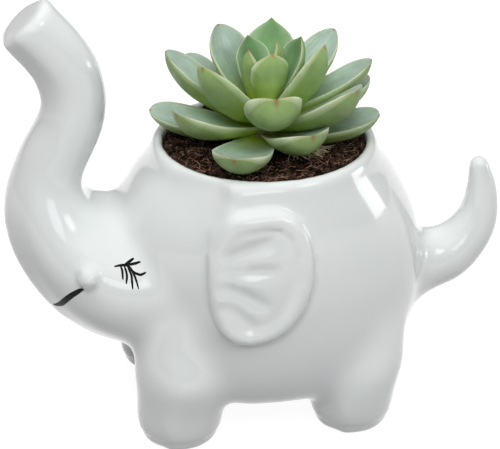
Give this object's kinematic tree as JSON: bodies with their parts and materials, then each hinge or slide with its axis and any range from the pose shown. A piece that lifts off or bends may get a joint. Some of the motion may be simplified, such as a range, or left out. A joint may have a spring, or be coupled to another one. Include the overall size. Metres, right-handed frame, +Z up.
{
  "type": "animal shaped planter",
  "caption": "Glazed ceramic planter shaped as a standing elephant with a raised trunk, planted with a rosette succulent that lifts out of its potting mix.",
  "frame": {"origin": "on the floor, under the middle of the part's box, midway between its two sides", "axes": "+X from the trunk towards the tail, +Y towards the animal's right side, +Z up"},
  "size_m": [0.193, 0.1088, 0.17],
  "materials": {
    "glaze": "gloss",
    "mesh": "matt",
    "mix": "matt, loose peat and coir",
    "roots": "matt, rooted mix",
    "stem": "matt bark",
    "leaf": "waxy bloom"
  },
  "bodies": {
    "planter": {"elephant_pot": "glaze", "tail": "glaze", "foot_front_left": "glaze", "foot_front_right": "glaze", "foot_rear_left": "glaze", "foot_rear_right": "glaze", "drain_mesh_pad": "mesh", "potting_mix": "mix"},
    "plant": {"root_ball": "roots", "stem": "stem", "leaf_outer_1": "leaf", "leaf_outer_2": "leaf", "leaf_outer_3": "leaf", "leaf_outer_4": "leaf", "leaf_outer_5": "leaf", "leaf_outer_6": "leaf", "leaf_outer_7": "leaf", "leaf_lower_1": "leaf", "leaf_lower_2": "leaf", "leaf_lower_3": "leaf", "leaf_lower_4": "leaf", "leaf_lower_5": "leaf", "leaf_lower_6": "leaf", "leaf_lower_7": "leaf", "leaf_upper_1": "leaf", "leaf_upper_2": "leaf", "leaf_upper_3": "leaf", "leaf_upper_4": "leaf", "leaf_upper_5": "leaf", "leaf_upper_6": "leaf", "leaf_upper_7": "leaf", "leaf_heart_1": "leaf", "leaf_heart_2": "leaf", "leaf_heart_3": "leaf", "leaf_heart_4": "leaf", "leaf_heart_5": "leaf"}
  },
  "joints": [
    {"name": "plant_lift", "type": "slide", "parent": "planter", "child": "plant", "axis": [0, 0, 1], "range_m": [0, 0.08]}
  ]
}
